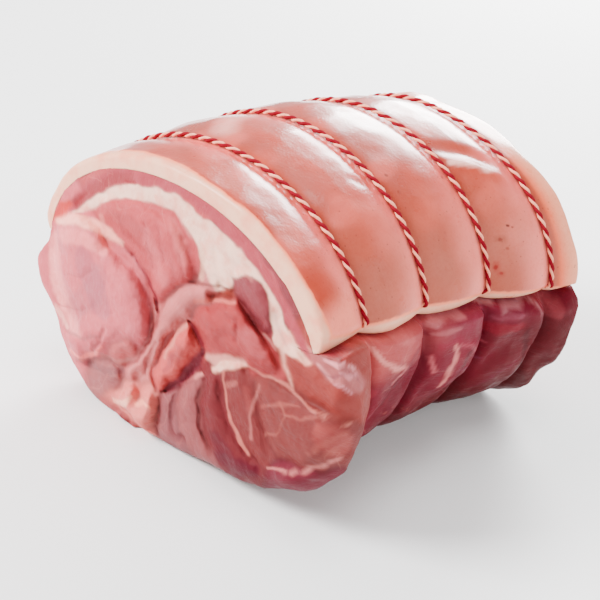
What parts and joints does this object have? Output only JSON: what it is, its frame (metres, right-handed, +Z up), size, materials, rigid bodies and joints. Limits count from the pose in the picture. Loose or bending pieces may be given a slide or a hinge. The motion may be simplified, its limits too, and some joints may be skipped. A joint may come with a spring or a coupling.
{
  "type": "string-tied rolled pork shoulder",
  "caption": "Raw boned and rolled pork shoulder joint with a cap of fat and rind, tied round with red and white butcher's twine.",
  "frame": {"origin": "on the floor, under the middle of the whole joint's bounding box", "axes": "+X along the roll, from the bigger cut face to the smaller one; +Z up, rind on top; +Y to the side with the knots"},
  "size_m": [0.1668, 0.1732, 0.132],
  "materials": {
    "lean_meat": "raw lean pork, moist, with pale fat seams",
    "rind_and_fat": "moist peach-pink rind over cream fat",
    "twine": "two-ply twine, one ply red and one ply off-white"
  },
  "bodies": {
    "root": {"meat": "lean_meat", "fat_cap": "rind_and_fat", "twine_1": "twine", "twine_2": "twine", "twine_3": "twine", "twine_4": "twine"}
  },
  "joints": []
}
